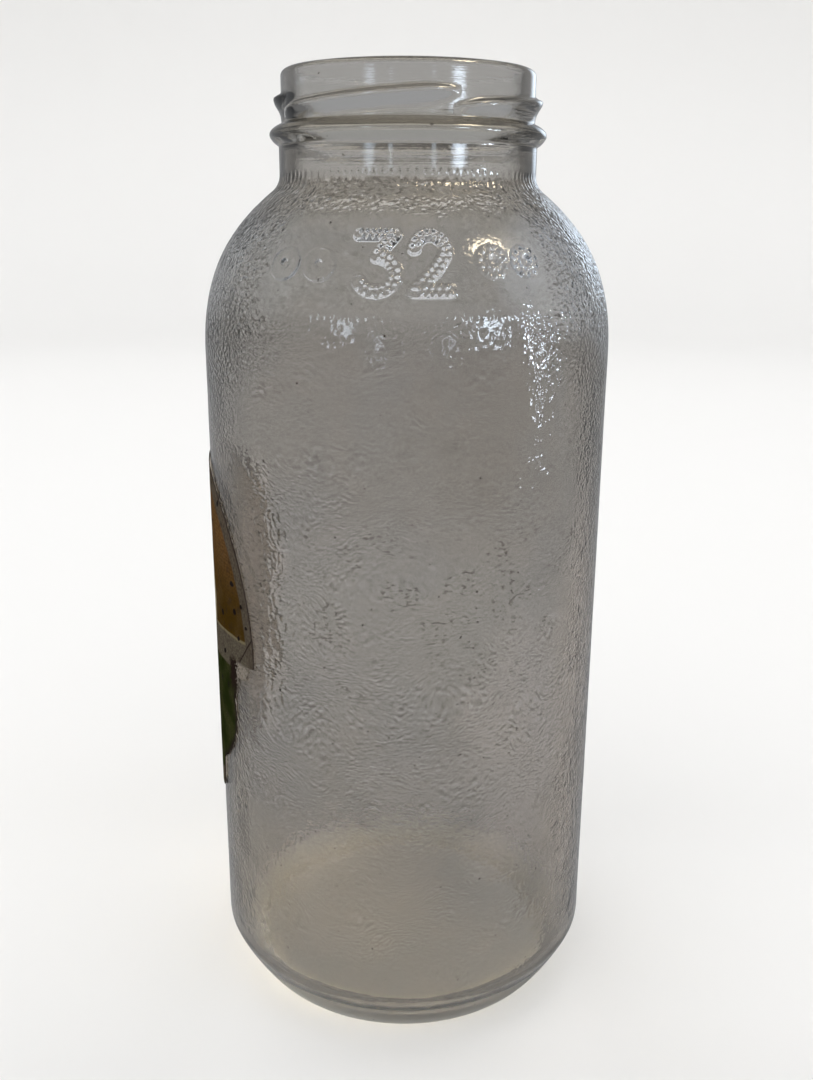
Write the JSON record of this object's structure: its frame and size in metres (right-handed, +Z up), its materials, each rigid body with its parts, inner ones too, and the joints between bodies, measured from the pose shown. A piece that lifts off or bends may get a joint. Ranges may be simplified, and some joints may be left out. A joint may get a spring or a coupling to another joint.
{
  "type": "glass drink bottle",
  "caption": "Empty wide-mouthed clear glass drink bottle with a domed shoulder, screw thread, raised plain numerals and the torn rest of an oval paper label.",
  "frame": {"origin": "on the bottle's axis, in the plane that its foot stands on", "axes": "+Z up along the bottle's axis to its mouth, -Y towards the front with the raised numerals, +X to the right seen from the front"},
  "size_m": [0.0905, 0.09, 0.2107],
  "materials": {
    "bottle_glass": "clear grey-taupe glass with moulded wrinkled relief and stippled marks",
    "label_paper": "worn matt printed paper, torn at the edge"
  },
  "bodies": {
    "root": {"bottle": "bottle_glass", "label": "label_paper"}
  },
  "joints": []
}
